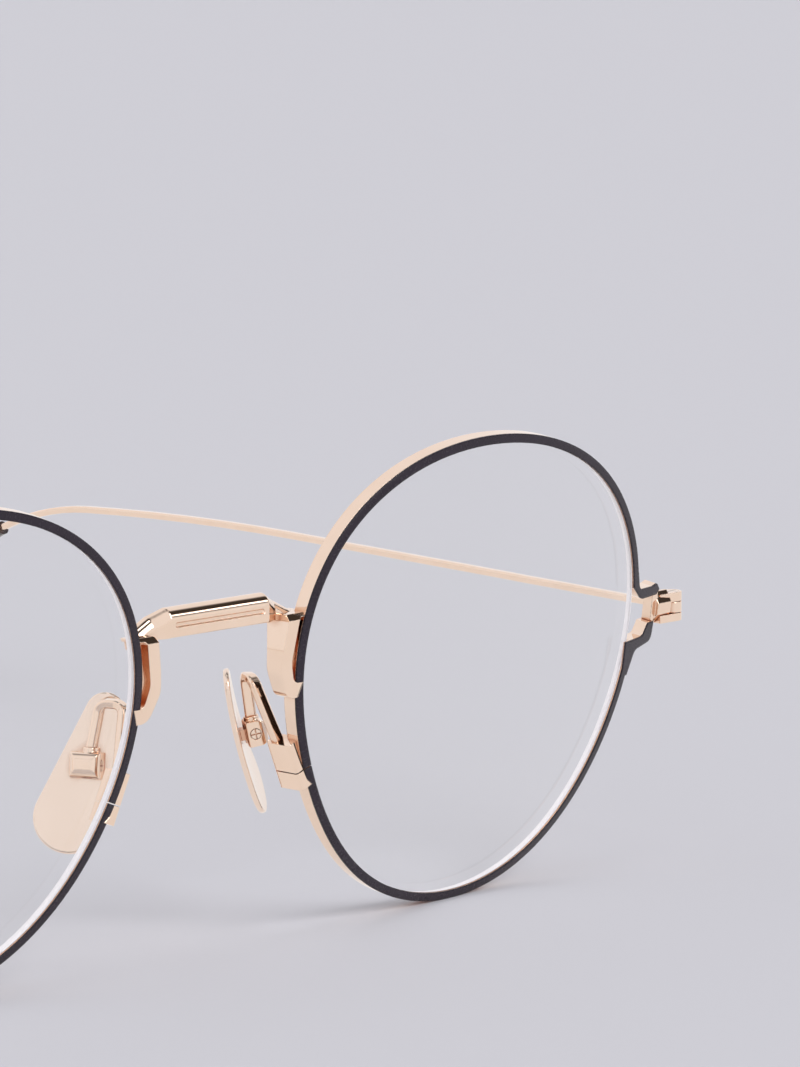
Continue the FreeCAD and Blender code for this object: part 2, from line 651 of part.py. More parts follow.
def rounded_path(points, radius):
    """Open wire through straight runs joined by tangent arcs."""
    edges = []
    start = points[0]
    for i in range(1, len(points) - 1):
        to_last = (points[i - 1] - points[i]).normalize()
        to_next = (points[i + 1] - points[i]).normalize()
        half = to_last.getAngle(to_next) / 2
        run = radius / tan(half)
        middle = points[i] + (to_last + to_next).normalize() * (radius / sin(half) - radius)
        edges.append(Part.LineSegment(start, points[i] + to_last * run).toShape())
        edges.append(Part.Arc(points[i] + to_last * run, middle, points[i] + to_next * run).toShape())
        start = points[i] + to_next * run
    edges.append(Part.LineSegment(start, points[-1]).toShape())
    return Part.Wire(edges)


def swept(path, wide, thin, corner, across):
    """Rounded bar swept along a wire; across is the bar's wide direction at the start."""
    start = path.Edges[0].valueAt(path.Edges[0].FirstParameter)
    along = path.Edges[0].tangentAt(path.Edges[0].FirstParameter)
    half_wide = wide / 2
    half_thin = thin / 2
    section = rounded_wire([(-half_wide, -half_thin, corner), (half_wide, -half_thin, corner),
                            (half_wide, half_thin, corner), (-half_wide, half_thin, corner)])
    section.Placement = Placement(start, Rotation(across, along, across.cross(along), "XYZ"))
    return path.makePipeShell([section], True, False)


def pad_arm():
    """Bent flat wire from the closing block up, round and down to the pad box."""
    foot = LOCK_PLACE.multVec(Vector(SCREW_X, dim("lock_front") + dim("arm_foot"),
                                     dim("lock_above") - 0.3))
    collar = BOX_PLACE.multVec(Vector(0, -dim("collar_forward"),
                                      dim("box_tall") / 2 + dim("collar_tall") - 0.1))
    crest = dim("arm_crest")
    front_bend = Vector(dim("arm_front_x"), FRONT_Y + dim("arm_front_y"), crest)
    back_bend = Vector(dim("arm_back_x"), FRONT_Y + dim("arm_back_y"), crest)
    path = rounded_path([foot, front_bend, back_bend, collar], dim("arm_bend"))
    along = (front_bend - foot).normalize()
    side = Vector(0, 1, 0).cross(along).normalize()
    return swept(path, dim("arm_wide"), dim("arm_thin"), 0.25, side)


def placed(shape, place):
    moved = shape.copy()
    moved.Placement = place
    return moved


box_shape = pad_box()
left_side.append(feature("pad_box_left", box_shape, BOX_PLACE))
plate_shape = placed(nose_pad(), PAD_PLACE)
lug_shape = less(placed(pad_lug(), BOX_PLACE), [plate_shape])
left_side.append(feature("nose_pad_left", plate_shape))
left_side.append(feature("pad_lug_left", lug_shape))
doc.recompute()
arm_shape = less(pad_arm(), [placed(box_shape, BOX_PLACE), lock_upper.Shape])
left_side.append(feature("pad_arm_left", arm_shape))
towards_back = Rotation(Vector(1, 0, 0), 90)
left_side.append(screw("pad_screw_left", "Dims.pad_pin_head", "Dims.pad_head_tall", "Dims.pad_pin",
                       "Dims.box_deep", 2,
                       in_frame(BOX_PLACE, 0, -dim("box_deep") / 2, 0, towards_back)))


# -------------------------------------------------------- endpiece and hinge

def endpiece():
    """Gold block between the two rim arms, and its bevelled outer head."""
    joint = prism(Part.Face(rounded_wire([(27.75, 3.2, 0), (28.8, 3.2, 0), (28.8, 0.0, 0),
                                          (27.75, 0.0, 0)])))
    joint = layer(joint, dim("block_front"), dim("block_back"))
    head_low = dim("head_low")
    head_high = dim("head_high")
    bevel = dim("head_bevel")
    start = dim("head_start")
    side_view = [(dim("head_front"), head_low + bevel), (dim("head_front"), head_high - bevel),
                 (dim("head_front") + bevel * 0.75, head_high), (dim("head_back"), head_high),
                 (dim("head_back"), head_low), (dim("head_front") + bevel * 0.75, head_low)]
    outline = Part.makePolygon([Vector(start, y, z) for y, z in side_view + side_view[:1]])
    head = Part.Face(outline).extrude(Vector(dim("head_long"), 0, 0))
    return joint.fuse(head)


def knuckle(label, height, lift, leaf_sides):
    """Hinge knuckle with a leaf, bored for the screw; the hinge axis is local Z."""
    barrel = cylinder(label + "_barrel", "Dims.knuckle_round", height, {"Placement.Base.z": lift})
    long, wide, tall, x, y = leaf_sides
    leaf = box(label + "_leaf", long, wide, tall,
               {"Placement.Base.x": x, "Placement.Base.y": y, "Placement.Base.z": lift})
    bore = cylinder(label + "_bore", "Dims.pin_round + Dims.pin_play", "3 * (" + height + ")",
                    {"Placement.Base.z": lift + " - (" + height + ")"})
    return cut(label + "_bored", fuse(label + "_solid", [barrel, leaf]), bore)


HINGE_BASE = {"Placement.Base.x": "Dims.hinge_x",
              "Placement.Base.y": "Dims.front_setback + Dims.hinge_y",
              "Placement.Base.z": "Dims.hinge_z"}
MID_LIFT = "Dims.knuckle_low + Dims.hinge_play"
TOP_LIFT = MID_LIFT + " + Dims.knuckle_mid + Dims.hinge_play"
HINGE_TALL = TOP_LIFT + " + Dims.knuckle_top"


def front_hinge():
    """Two knuckles on a back plate behind the endpiece's head."""
    arm = ("-1 * Dims.plate_start", "Dims.plate_back + Dims.knuckle_round")
    place = ("Dims.plate_start", "-1 * Dims.knuckle_round")
    low = knuckle("hinge_low", "Dims.knuckle_low", "0",
                  (arm[0], arm[1], "Dims.knuckle_low", *place))
    top = knuckle("hinge_top", "Dims.knuckle_top", TOP_LIFT,
                  (arm[0], arm[1], "Dims.knuckle_top", *place))
    back = box("hinge_plate", "Dims.plate_end - Dims.plate_start", "Dims.plate_back - Dims.plate_front",
               HINGE_TALL, {"Placement.Base.x": "Dims.plate_start",
                            "Placement.Base.y": "Dims.plate_front"})
    seat = cylinder("hinge_seat", "Dims.pin_head + Dims.pin_play", "2 * Dims.pin_head_tall",
                    {"Placement.Base.z": HINGE_TALL + " - Dims.pin_head_tall"})
    whole = cut("hinge_front_whole", fuse("hinge_front_solid", [low, top, back]), seat)
    bind(whole, HINGE_BASE)
    doc.recompute()
    head = feature("hinge_front_head", placed(endpiece_shape, LENS_PLACE))
    fitted = cut("hinge_front_left", whole, head)
    return fitted


endpiece_shape = less(endpiece(), [rim_shape, enamel_shape])
left_side.append(feature("endpiece_left", endpiece_shape, LENS_PLACE))
left_side.append(front_hinge())
hinge_screw = screw("hinge_screw_left", "Dims.pin_head", "Dims.pin_head_tall", "Dims.pin_round",
                    HINGE_TALL, 1, Placement())
bind(hinge_screw, dict(HINGE_BASE, **{"Placement.Base.z": "Dims.hinge_z + " + HINGE_TALL}))
left_side.append(hinge_screw)


# ----------------------------------------------------------------- temple
# Temple frame: origin on the hinge axis at the floor, Y along the temple.

TEMPLE_PLACE = Placement(Vector(dim("hinge_x"), FRONT_Y + dim("hinge_y"), 0),
                         Rotation(Vector(0, 0, 1), -dim("temple_spread")))


def temple_hinge():
    """Middle knuckle with the tongue that carries the temple wire."""
    tongue = ("Dims.temple_wide", "Dims.temple_start", "Dims.temple_tall",
              "Dims.temple_offset - Dims.temple_wide / 2", "0")
    piece = knuckle("temple_knuckle", "Dims.knuckle_mid", MID_LIFT, tongue)
    turned = doc.addObject("Part::Compound", "temple_hinge_left")
    turned.Links = [piece]
    turned.Placement = Placement(Vector(0, 0, 0), Rotation(Vector(0, 0, 1), -dim("temple_spread")))
    bind(turned, HINGE_BASE)
    return turned


def ear_point(slope):
    """A point of the ear bend where the wire has turned down to a slope."""
    start = (dim("bow_end") - dim("temple_straight")) / dim("bow_radius")
    radius = dim("ear_radius")
    y = dim("bow_end") + radius * (sin(slope) - sin(start))
    drop = dim("bow_radius") * (1 - cos(start)) + radius * (cos(start) - cos(slope))
    return Vector(dim("temple_offset"), y, dim("temple_z") - drop)


def bow_point(y):
    """A point of the gentle bow."""
    run = y - dim("temple_straight")
    return Vector(dim("temple_offset"), y, dim("temple_z") - run * run / 2 / dim("bow_radius"))


def temple_path(first_slope, short_by):
    """Centre line of the wire from its start, or from where it has a slope, to its end."""
    last_slope = radians(dim("ear_slope"))
    bow_slope = (dim("bow_end") - dim("temple_straight")) / dim("bow_radius")
    bend_end = ear_point(last_slope)
    fall = bend_end.z - dim("sleeve_tall") / 2 * cos(last_slope) - dim("sleeve_lift")
    down = Vector(0, cos(last_slope), -sin(last_slope))
    end = bend_end + down * (fall / sin(last_slope) - short_by)
    edges = []
    if first_slope is None:
        first_slope = bow_slope
        start = Vector(dim("temple_offset"), dim("temple_start"), dim("temple_z"))
        straight_end = bow_point(dim("temple_straight"))
        bow_middle = bow_point((dim("temple_straight") + dim("bow_end")) / 2)
        edges.append(Part.LineSegment(start, straight_end).toShape())
        edges.append(Part.Arc(straight_end, bow_middle, ear_point(bow_slope)).toShape())
    ear_middle = ear_point((first_slope + last_slope) / 2)
    edges.append(Part.Arc(ear_point(first_slope), ear_middle, bend_end).toShape())
    edges.append(Part.LineSegment(bend_end, end).toShape())
    return Part.Wire(edges)


def temple_wire():
    path = temple_path(None, dim("sleeve_wall"))
    return swept(path, dim("temple_wide"), dim("temple_tall"), 0.2, Vector(1, 0, 0))


def oval_section(spot, degrees_down, wide, tall):
    """Rounded section across the temple where it points down by some degrees."""
    corner = 0.42 * wide
    oval = rounded_wire([(-wide / 2, -tall / 2, corner), (wide / 2, -tall / 2, corner),
                         (wide / 2, tall / 2, corner), (-wide / 2, tall / 2, corner)])
    oval.Placement = Placement(spot, Rotation(Vector(1, 0, 0), -degrees_down))
    return oval


def tip_sleeve(wire):
    """Sleeve that swells along the temple's end, with the wire's space inside."""
    first = dim("sleeve_start")
    last = dim("ear_slope")
    path = temple_path(radians(first), 0.0)
    end = path.Vertexes[-1].Point
    neck = dim("sleeve_neck")
    sections = [oval_section(ear_point(radians(first)), first, neck, neck),
                oval_section(ear_point(radians(last)), last, dim("sleeve_wide"),
                             neck + 0.6 * (dim("sleeve_tall") - neck)),
                oval_section(end, last, dim("sleeve_wide"), dim("sleeve_tall"))]
    body = path.makePipeShell(sections, True, False)
    body = soften(body, 0.5, lambda edge: edge.CenterOfMass.distanceToPoint(end) < 1.6)
    return body.cut(wire)


left_side.append(temple_hinge())
wire_shape = temple_wire()
left_side.append(feature("temple_wire_left", wire_shape, TEMPLE_PLACE))
left_side.append(feature("temple_tip_left", tip_sleeve(wire_shape), TEMPLE_PLACE))


# ----------------------------------------------------- wearer's right side

right_side = []
for piece in left_side:
    label = piece.Label.replace("_left", "_right")
    mirrored = doc.addObject("Part::Mirroring", label)
    mirrored.Label = label
    mirrored.Source = piece
    mirrored.Normal = Vector(1, 0, 0)
    right_side.append(mirrored)

doc.recompute()


# ---------------------------------------------------------- check and write

subparts = [bridge] + left_side + right_side
for obj in doc.Objects:
    assert not {"Invalid", "Error"} & set(obj.State), f"{obj.Label}: {obj.State}"
for obj in subparts:
    shape = obj.Shape
    assert not shape.isNull() and shape.isValid(), f"{obj.Label}: bad shape"
    assert shape.Solids and all(solid.Volume > 0 for solid in shape.Solids), f"{obj.Label}: no volume"

os.makedirs("parts", exist_ok=True)
for obj in subparts:
    obj.Shape.exportStep(f"parts/{obj.Label}.step")

whole = Part.makeCompound([obj.Shape for obj in subparts]).optimalBoundingBox(False)
print(f"{len(subparts)} sub-parts, {whole.XLength:.2f} x {whole.YLength:.2f} x {whole.ZLength:.2f} mm")
print(f"x {whole.XMin:.3f}..{whole.XMax:.3f}  y {whole.YMin:.3f}..{whole.YMax:.3f}  z {whole.ZMin:.3f}")
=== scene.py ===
"""Round metal-rimmed eyeglasses: finishes, light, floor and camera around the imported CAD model."""

import json
import math

import bmesh
import bpy
from mathutils import Matrix, Vector

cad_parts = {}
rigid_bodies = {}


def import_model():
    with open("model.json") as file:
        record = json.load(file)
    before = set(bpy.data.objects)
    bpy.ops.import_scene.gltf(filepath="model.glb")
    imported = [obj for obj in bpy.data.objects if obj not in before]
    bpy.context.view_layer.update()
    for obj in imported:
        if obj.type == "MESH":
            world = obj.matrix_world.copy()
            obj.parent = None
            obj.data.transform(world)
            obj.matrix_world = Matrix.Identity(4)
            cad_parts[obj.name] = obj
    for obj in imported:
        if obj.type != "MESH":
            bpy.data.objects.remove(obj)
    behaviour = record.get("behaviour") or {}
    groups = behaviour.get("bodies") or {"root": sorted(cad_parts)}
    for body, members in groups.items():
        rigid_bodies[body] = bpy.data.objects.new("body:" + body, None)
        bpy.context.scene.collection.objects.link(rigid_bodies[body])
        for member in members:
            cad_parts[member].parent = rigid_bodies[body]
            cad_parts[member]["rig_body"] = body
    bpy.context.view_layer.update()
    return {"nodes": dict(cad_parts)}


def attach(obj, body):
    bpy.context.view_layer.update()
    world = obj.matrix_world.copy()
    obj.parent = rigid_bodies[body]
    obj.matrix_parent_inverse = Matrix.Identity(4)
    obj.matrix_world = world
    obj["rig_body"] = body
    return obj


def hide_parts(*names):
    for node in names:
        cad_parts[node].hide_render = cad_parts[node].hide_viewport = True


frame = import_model()
scene = bpy.context.scene
nodes = frame["nodes"]

MM = 0.001
MICRON = 1e-6
# Painted shade: the coppery dark painted into the metal's creases, and how far the occlusion looks
# for them.
PAINTED_CREVICE_SHADE = (0.60, 0.30, 0.16)
PAINTED_SHADE_REACH = 1.1 * MM
WHITE = (1.0, 1.0, 1.0)

# ---------------------------------------------------------------- materials


def node(tree, kind, **inputs):
    """A node of that kind with its sockets set or linked; names have _ for a space."""
    made = tree.nodes.new(kind)
    for name, value in inputs.items():
        socket = made.inputs[name.replace("_", " ")]
        if isinstance(value, bpy.types.NodeSocket):
            tree.links.new(value, socket)
        else:
            socket.default_value = value
    return made


def noise(tree, where, scale, detail=2.0, rough=0.5, distortion=0.0):
    """Noise over the surface, about 0.3 to 0.7, at scale cycles to the metre."""
    made = node(tree, "ShaderNodeTexNoise", Vector=where, Scale=scale, Detail=detail,
                Roughness=rough, Distortion=distortion)
    return made.outputs["Fac"]


def stretched(tree, where, scales):
    """The place on the surface, scaled by axis so that a pattern runs along one of them."""
    made = node(tree, "ShaderNodeMapping", Vector=where, Scale=scales)
    return made.outputs["Vector"]


def ranged(tree, value, low_in, high_in, low_out, high_out):
    """A number moved from one range to another."""
    made = node(tree, "ShaderNodeMapRange")
    tree.links.new(value, made.inputs["Value"])
    for name, number in (("From Min", low_in), ("From Max", high_in),
                         ("To Min", low_out), ("To Max", high_out)):
        made.inputs[name].default_value = number
    return made.outputs["Result"]


def math_of(tree, operation, a, b):
    """A Math node on two numbers or sockets."""
    made = tree.nodes.new("ShaderNodeMath")
    made.operation = operation
    for index, value in enumerate((a, b)):
        if isinstance(value, bpy.types.NodeSocket):
            tree.links.new(value, made.inputs[index])
        else:
            made.inputs[index].default_value = value
    return made.outputs["Value"]


def ramp(tree, value, stops):
    """A colour ramp through stops of (place, colour)."""
    made = tree.nodes.new("ShaderNodeValToRGB")
    band = made.color_ramp
    while len(band.elements) < len(stops):
        band.elements.new(0.5)
    for element, (place, colour) in zip(band.elements, stops):
        element.position = place
        element.color = (*colour, 1.0)
    tree.links.new(value, made.inputs["Fac"])
    return made.outputs["Color"]


def multiplied(tree, one, other):
    """Two colours multiplied."""
    made = tree.nodes.new("ShaderNodeMix")
    made.data_type = "RGBA"
    made.blend_type = "MULTIPLY"
    made.inputs[0].default_value = 1.0
    tree.links.new(one, made.inputs[6])
    tree.links.new(other, made.inputs[7])
    return made.outputs[2]


def bump(tree, height, distance, strength=1.0, under=None):
    """A small relief, distance deep where height goes from 0 to 1."""
    made = node(tree, "ShaderNodeBump", Height=height, Distance=distance, Strength=strength)
    if under is not None:
        tree.links.new(under, made.inputs["Normal"])
    return made.outputs["Normal"]


def start(name):
    """A new material with an empty tree, its output and the object's own coordinates."""
    material = bpy.data.materials.new(name)
    material.use_nodes = True
    tree = material.node_tree
    tree.nodes.clear()
    output = tree.nodes.new("ShaderNodeOutputMaterial")
    where = tree.nodes.new("ShaderNodeTexCoord").outputs["Object"]
    return material, tree, output, where


def metal(name, colour, warm, rough_low, rough_high, edge_round, grain=None):
    """Plated metal: polishing haze, fine wiping scratches, soft edges and faint colour drift, with
    painted shade: a coppery darkening of the colour in creases and where parts meet.
    """
    material, tree, output, where = start(name)
    drift = noise(tree, where, 260.0, 3.0)
    tint = ramp(tree, drift, ((0.30, colour), (0.70, warm)))
    # Painted shade: ambient occlusion over about a millimetre darkens the colour towards copper in
    # creases and between parts, standing in for their shade and for gold mirrored in gold.
    open_sky = tree.nodes.new("ShaderNodeAmbientOcclusion")
    open_sky.samples = 8
    open_sky.inputs["Distance"].default_value = PAINTED_SHADE_REACH
    painted_shade_mask = ranged(tree, open_sky.outputs["AO"], 0.10, 0.85, 0.0, 1.0)
    tint = multiplied(tree, tint, ramp(tree, painted_shade_mask, ((0.0, PAINTED_CREVICE_SHADE), (1.0, WHITE))))
    haze = noise(tree, where, 900.0, 4.0, 0.6)
    scratch = noise(tree, stretched(tree, where, (1.0, 0.12, 0.5)), 9000.0, 3.0, 0.7)
    mixed = math_of(tree, "ADD", math_of(tree, "MULTIPLY", haze, 0.65),
                    math_of(tree, "MULTIPLY", scratch, 0.35))
    rough = ranged(tree, mixed, 0.35, 0.65, rough_low, rough_high)
    rounded = node(tree, "ShaderNodeBevel", Radius=edge_round)
    rounded.samples = 4
    normal = bump(tree, noise(tree, where, 330.0, 1.0), 22 * MICRON, 1.0, rounded.outputs["Normal"])
    if grain is not None:
        lines = noise(tree, stretched(tree, where, grain), 1.0, 2.0, 0.6)
        normal = bump(tree, lines, 2 * MICRON, 0.6, normal)
    shader = node(tree, "ShaderNodeBsdfPrincipled", Base_Color=tint, Metallic=1.0,
                  Roughness=rough, Normal=normal)
    tree.links.new(shader.outputs["BSDF"], output.inputs["Surface"])
    return material


def enamel(name):
    """Baked dark aubergine enamel: cloudy in depth, with a faint orange peel and soft edges."""
    material, tree, output, where = start(name)
    cloud = noise(tree, where, 350.0, 3.0)
    base = ramp(tree, cloud, ((0.30, (0.0110, 0.0060, 0.0140)), (0.70, (0.0170, 0.0105, 0.0205))))
    rough = ranged(tree, noise(tree, where, 2500.0, 3.0, 0.6), 0.35, 0.65, 0.20, 0.30)
    rounded = node(tree, "ShaderNodeBevel", Radius=0.28 * MM)
    rounded.samples = 4
    peel = bump(tree, noise(tree, where, 1600.0, 1.0), 3 * MICRON, 1.0, rounded.outputs["Normal"])
    shader = node(tree, "ShaderNodeBsdfPrincipled", Base_Color=base, Roughness=rough, Normal=peel,
                  IOR=1.38)
    tree.links.new(shader.outputs["BSDF"], output.inputs["Surface"])
    return material


def acetate(name):
    """Polished dark acetate sleeve: cloudy brown swirls under a clear gloss."""
    material, tree, output, where = start(name)
    swirl = noise(tree, stretched(tree, where, (1.0, 0.45, 1.0)), 190.0, 4.0, 0.55, 1.2)
    base = ramp(tree, swirl, ((0.38, (0.016, 0.010, 0.014)), (0.56, (0.045, 0.024, 0.020)),
                              (0.68, (0.100, 0.052, 0.032))))
    rough = ranged(tree, noise(tree, where, 1400.0, 3.0), 0.35, 0.65, 0.10, 0.20)
    waves = bump(tree, noise(tree, where, 300.0, 1.0), 6 * MICRON)
    shader = node(tree, "ShaderNodeBsdfPrincipled", Base_Color=base, Roughness=rough, Normal=waves,
                  IOR=1.49, Coat_Weight=0.4, Coat_Roughness=0.05)
    tree.links.new(shader.outputs["BSDF"], output.inputs["Surface"])
    return material


def polished_glass(name):
    """Coated lens glass; lamp light and bounced light go straight through it."""
    material, tree, output, where = start(name)
    smear = ranged(tree, noise(tree, where, 120.0, 3.0), 0.45, 0.70, 0.0, 0.012)
    clear = node(tree, "ShaderNodeBsdfPrincipled", Base_Color=(0.99, 0.992, 0.99, 1.0),
                 Roughness=smear, IOR=1.5, Transmission_Weight=1.0,
                 Specular_Tint=(0.08, 0.09, 0.11, 1.0))
    open_glass = tree.nodes.new("ShaderNodeBsdfTransparent")
    path = tree.nodes.new("ShaderNodeLightPath")
    passing = math_of(tree, "MAXIMUM", path.outputs["Is Shadow Ray"],
                      path.outputs["Is Diffuse Ray"])
    faces = node(tree, "ShaderNodeMixShader", Fac=passing)
    tree.links.new(clear.outputs["BSDF"], faces.inputs[1])
    tree.links.new(open_glass.outputs["BSDF"], faces.inputs[2])
    tree.links.new(faces.outputs["Shader"], output.inputs["Surface"])
    return material


def ground_glass(name):
    """The lens's ground edge: frosted white seen through the glass, and painted shade, near black,
    where it is seen from outside, standing in for the groove's shadow.
    """
    material, tree, output, where = start(name)
    grind = noise(tree, where, 5000.0, 3.0, 0.6)
    chalk = ramp(tree, grind, ((0.30, (0.82, 0.79, 0.82)), (0.70, (0.90, 0.87, 0.90))))
    relief = bump(tree, grind, 8 * MICRON)
    frosted = node(tree, "ShaderNodeBsdfPrincipled", Base_Color=chalk, Roughness=0.75,
                   Normal=relief)
    # Painted shade: the edge's outward faces get a near-black colour for the shadow of the groove,
    # not a colour of the glass.
    painted_groove_shade = ramp(tree, grind, ((0.30, (0.020, 0.016, 0.016)), (0.70, (0.045, 0.036, 0.034))))
    painted_shade_edge = node(tree, "ShaderNodeBsdfPrincipled", Base_Color=painted_groove_shade, Roughness=0.80, Normal=relief)
    inside = tree.nodes.new("ShaderNodeNewGeometry").outputs["Backfacing"]
    faces = node(tree, "ShaderNodeMixShader", Fac=inside)
    tree.links.new(painted_shade_edge.outputs["BSDF"], faces.inputs[1])
    tree.links.new(frosted.outputs["BSDF"], faces.inputs[2])
    tree.links.new(faces.outputs["Shader"], output.inputs["Surface"])
    return material


rose_gold = metal("rose_gold_plate", (0.86, 0.665, 0.53), (0.89, 0.70, 0.57),
                  0.035, 0.085, 0.09 * MM)
screw_gold = metal("screw_gold_plate", (0.84, 0.68, 0.56), (0.88, 0.73, 0.62),
                   0.09, 0.19, 0.04 * MM)
pad_gold = metal("pad_gold_plate", (0.85, 0.685, 0.575), (0.88, 0.72, 0.61),
                 0.08, 0.14, 0.12 * MM, (1500.0, 1500.0, 9000.0))
dark_enamel = enamel("dark_enamel_coat")
tip_sleeve = acetate("tip_acetate")

finishes = {"rose_gold": rose_gold, "screw_gold": screw_gold, "pad_gold": pad_gold,
            "dark_enamel": dark_enamel, "tip_sleeve": tip_sleeve}
for name, obj in nodes.items():
    for index, old in enumerate(obj.data.materials):
        slot = old.name.split(".")[0]
        if slot in finishes:
            obj.data.materials[index] = finishes[slot]


# ------------------------------------------------------------------- lenses

SHARP_EDGE = math.radians(25)
LENS_EASE = 0.025 * MM
FACING_FRONT = -0.6


def grown(first):
    """The faces reached from one face without crossing a sharp edge."""
    found = {first}
    waiting = [first]
    while waiting:
        for edge in waiting.pop().edges:
            if edge.calc_face_angle(math.pi) > SHARP_EDGE:
                continue
            for face in edge.link_faces:
                if face not in found:
                    found.add(face)
                    waiting.append(face)
    return found


def sphere_centre(points):
    """Centre of the sphere nearest to points, from |p|^2 = 2 c.p + k by least squares."""
    table = Matrix(((0.0,) * 4,) * 4)
    wanted = Vector((0.0,) * 4)
    for point in points:
        row = Vector((2 * point.x, 2 * point.y, 2 * point.z, 1.0))
        wanted += row * point.length_squared
        for index in range(4):
            table[index] += row * row[index]
    return (table.inverted() @ wanted).to_3d()


def true_normals(mesh, axis):
    """Corner normals of the lens: its faces' own spheres, so that nothing seen through it bends."""
    corners = [corner.vector.copy() for corner in mesh.corner_normals]
    for way in (1, -1):
        faces = [face for face in mesh.polygons
                 if face.material_index == 0 and face.normal.dot(axis) * way > 0]
        used = {index for face in faces for index in face.vertices}
        middle = sum((mesh.vertices[index].co for index in used), Vector()) / len(used)
        centre = sphere_centre([(mesh.vertices[index].co - middle) / MM for index in used])
        centre = middle + centre * MM
        for face in faces:
            for loop in face.loop_indices:
                spot = mesh.vertices[mesh.loops[loop].vertex_index].co
                corners[loop] = (spot - centre).normalized() * way
    mesh.normals_split_custom_set(corners)


def clear_lens(name):
    """A lens with polished faces and a ground edge, eased out of the rim's groove."""
    source = nodes[name]
    form = bmesh.new()
    form.from_mesh(source.data)
    bmesh.ops.remove_doubles(form, verts=form.verts, dist=MICRON)
    bmesh.ops.recalc_face_normals(form, faces=form.faces)
    form.normal_update()
    axis = Vector()
    for face in form.faces:
        if face.normal.y < FACING_FRONT:
            axis += face.normal * face.calc_area()
    axis.normalize()
    widest_front = max(form.faces, key=lambda face: face.calc_area() * face.normal.dot(axis))
    widest_back = min(form.faces, key=lambda face: face.calc_area() * face.normal.dot(axis))
    clear_faces = grown(widest_front) | grown(widest_back)
    for face in form.faces:
        face.smooth = True
        face.material_index = int(face not in clear_faces)
    inward = {vert: vert.normal.copy() for vert in form.verts}
    for vert, normal in inward.items():
        vert.co -= normal * LENS_EASE
    mesh = bpy.data.meshes.new(name + "_glass")
    form.to_mesh(mesh)
    form.free()
    mesh.set_sharp_from_angle(angle=SHARP_EDGE)
    mesh.materials.append(lens_glass)
    mesh.materials.append(lens_edge)
    true_normals(mesh, axis)
    piece = bpy.data.objects.new(name + "_glass", mesh)
    scene.collection.objects.link(piece)
    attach(piece, "front")
    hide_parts(name)


lens_glass = polished_glass("lens_glass")
lens_edge = ground_glass("lens_ground_edge")
clear_lens("lens_left")
clear_lens("lens_right")

# ------------------------------------------------- cast and polished pieces


def polished(name, voxel, rounds, slot):
    """A CAD node with its edges rounded off as casting and polishing leave them."""
    source = nodes[name]
    mesh = source.data.copy()
    piece = bpy.data.objects.new(name + "_polished", mesh)
    scene.collection.objects.link(piece)
    grid = piece.modifiers.new("grid", "REMESH")
    grid.mode = "VOXEL"
    grid.voxel_size = voxel
    grid.use_smooth_shade = True
    ease = piece.modifiers.new("ease", "SMOOTH")
    ease.factor = 0.5
    ease.iterations = rounds
    graph = bpy.context.evaluated_depsgraph_get()
    final = bpy.data.meshes.new_from_object(piece.evaluated_get(graph))
    piece.modifiers.clear()
    piece.data = final
    final.name = piece.name
    bpy.data.meshes.remove(mesh)
    final.materials.clear()
    final.materials.append(finishes[slot])
    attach(piece, source["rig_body"])
    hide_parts(name)


polished("bridge_bar", 0.06 * MM, 6, "rose_gold")
for side in ("left", "right"):
    polished("hinge_front_" + side, 0.04 * MM, 5, "rose_gold")
    polished("temple_hinge_" + side, 0.04 * MM, 5, "rose_gold")
    polished("pad_box_" + side, 0.05 * MM, 6, "rose_gold")
    polished("endpiece_" + side, 0.05 * MM, 5, "rose_gold")

# -------------------------------------------------------------------- stage

FLOOR_HALF = 9.0
FLOOR_SEEN = (0.616, 0.611, 0.652, 1.0)
# Painted light: the brighter floor colour that reflected rays see.
FLOOR_PAINTED_BRIGHTER = (0.90, 0.89, 0.88, 1.0)
SURROUND = (0.97, 0.97, 0.99)
DARK = (0.050, 0.042, 0.036)
BRIGHT = (3.0, 3.0, 3.0)
BACKDROP = (0.620, 0.615, 0.658, 1.0)
KEY_FROM = Vector((0.10, -0.80, 0.60))
KEY_SPREAD = math.radians(40)
KEY_ENERGY = 1.30


def pale_floor():
    """A plain pale floor, with painted light: reflected rays, off the metal and bounced off other
    surfaces, see a brighter copy of it.
    """
    corners = [(-FLOOR_HALF, -FLOOR_HALF, 0), (FLOOR_HALF, -FLOOR_HALF, 0),
               (FLOOR_HALF, FLOOR_HALF, 0), (-FLOOR_HALF, FLOOR_HALF, 0)]
    mesh = bpy.data.meshes.new("floor")
    mesh.from_pydata(corners, [], [(0, 1, 2, 3)])
    floor = bpy.data.objects.new("floor", mesh)
    scene.collection.objects.link(floor)
    material, tree, output, _ = start("pale_floor")
    # Painted light: reflected rays get a brighter copy of the floor than the camera does.
    mirrored = tree.nodes.new("ShaderNodeLightPath").outputs["Is Reflection Ray"]
    seen = node(tree, "ShaderNodeBsdfDiffuse", Color=FLOOR_SEEN)
    painted_bright_floor = node(tree, "ShaderNodeBsdfDiffuse", Color=FLOOR_PAINTED_BRIGHTER)
    both = node(tree, "ShaderNodeMixShader", Fac=mirrored)
    tree.links.new(seen.outputs["BSDF"], both.inputs[1])
    tree.links.new(painted_bright_floor.outputs["BSDF"], both.inputs[2])
    tree.links.new(both.outputs["Shader"], output.inputs["Surface"])
    mesh.materials.append(material)


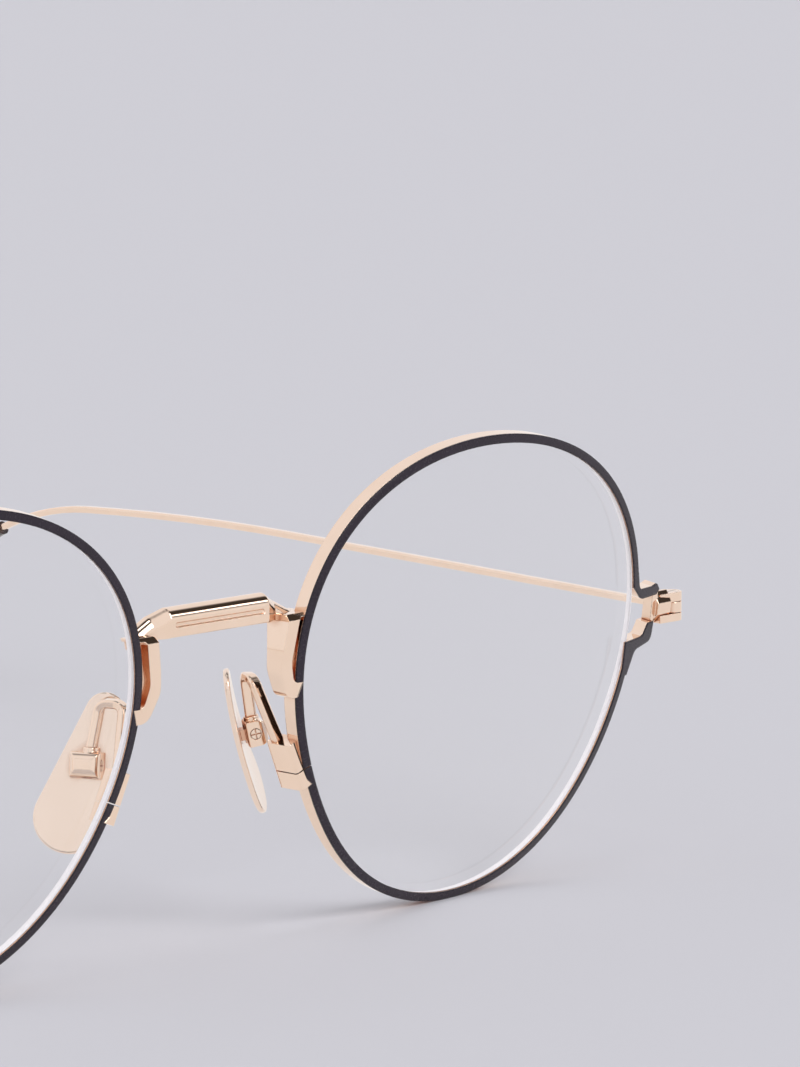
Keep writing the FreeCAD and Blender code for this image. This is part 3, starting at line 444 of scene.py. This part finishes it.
def patch(tree, direction, under, towards, inside, outside, colour):
    """A round soft-edged area of the surround, towards a direction, in degrees off it."""
    aim_at = node(tree, "ShaderNodeVectorMath")
    aim_at.operation = "DOT_PRODUCT"
    tree.links.new(direction, aim_at.inputs[0])
    aim_at.inputs[1].default_value = Vector(towards).normalized()
    share = tree.nodes.new("ShaderNodeMapRange")
    share.interpolation_type = "SMOOTHSTEP"
    tree.links.new(aim_at.outputs["Value"], share.inputs["Value"])
    share.inputs["From Min"].default_value = math.cos(math.radians(outside))
    share.inputs["From Max"].default_value = math.cos(math.radians(inside))
    blend = tree.nodes.new("ShaderNodeMix")
    blend.data_type = "RGBA"
    tree.links.new(share.outputs["Result"], blend.inputs[0])
    if isinstance(under, bpy.types.NodeSocket):
        tree.links.new(under, blend.inputs[6])
    else:
        blend.inputs[6].default_value = (*under, 1.0)
    blend.inputs[7].default_value = (*colour, 1.0)
    return blend.outputs[2]


def studio():
    """A white surround with two dark areas overhead, each with a soft box in it."""
    world = bpy.data.worlds.new("studio")
    scene.world = world
    world.use_nodes = True
    tree = world.node_tree
    tree.nodes.clear()
    direction = tree.nodes.new("ShaderNodeTexCoord").outputs["Generated"]
    sky = SURROUND
    for towards, inside, outside, colour in (((0.60, -0.40, 0.62), 16, 32, DARK),
                                             ((0.10, -0.05, 1.00), 16, 30, DARK),
                                             ((0.68, -0.55, 0.46), 4, 6, BRIGHT),
                                             ((0.02, -0.10, 1.00), 5, 8, BRIGHT)):
        sky = patch(tree, direction, sky, towards, inside, outside, colour)
    back = node(tree, "ShaderNodeBackground", Color=sky, Strength=1.0)
    plain = node(tree, "ShaderNodeBackground", Color=BACKDROP, Strength=1.0)
    straight = tree.nodes.new("ShaderNodeLightPath").outputs["Is Camera Ray"]
    whole = node(tree, "ShaderNodeMixShader", Fac=straight)
    tree.links.new(back.outputs["Background"], whole.inputs[1])
    tree.links.new(plain.outputs["Background"], whole.inputs[2])
    world_out = tree.nodes.new("ShaderNodeOutputWorld")
    tree.links.new(whole.outputs["Shader"], world_out.inputs["Surface"])


def key_light():
    """One broad soft lamp, in front of the object and above it."""
    key = bpy.data.lights.new("key", "SUN")
    key.angle = KEY_SPREAD
    key.energy = KEY_ENERGY
    key_obj = bpy.data.objects.new("key", key)
    scene.collection.objects.link(key_obj)
    key_obj.rotation_euler = KEY_FROM.to_track_quat("Z", "Y").to_euler()


pale_floor()
studio()
key_light()

# ------------------------------------------------------------------- camera

CAMERA_AT = Vector((-371.34, -481.94, 130.24)) * MM
FORWARD = Vector((0.68021, 0.71537, -0.15989))
RIGHT = Vector((0.724723, -0.689041, 0.000263))
UP = Vector((0.109984, 0.116057, 0.987134))
LONG_SIDE = 1067
FOCAL_LENGTH = 6203.2
OFF_CENTRE_X = -2.86
OFF_CENTRE_Y = -2.29
SENSOR_MM = 36.0

# The lens looks a little off the middle of the image, so the whole camera is turned by that much.
aim = FORWARD - RIGHT * (OFF_CENTRE_X / FOCAL_LENGTH) + UP * (OFF_CENTRE_Y / FOCAL_LENGTH)
right = RIGHT - aim * (RIGHT.dot(aim) / aim.length_squared)
right.normalize()
back_way = -aim.normalized()
up = back_way.cross(right)
camera = bpy.data.cameras.new("camera")
camera.sensor_width = SENSOR_MM
camera.lens = FOCAL_LENGTH / LONG_SIDE * SENSOR_MM
camera.clip_start = 0.01
camera.clip_end = 60.0
camera_obj = bpy.data.objects.new("camera", camera)
scene.collection.objects.link(camera_obj)
turn = Matrix((right, up, back_way)).transposed().to_4x4()
camera_obj.matrix_world = Matrix.Translation(CAMERA_AT) @ turn
scene.camera = camera_obj

scene.view_settings.view_transform = "Standard"
scene.view_settings.look = "None"
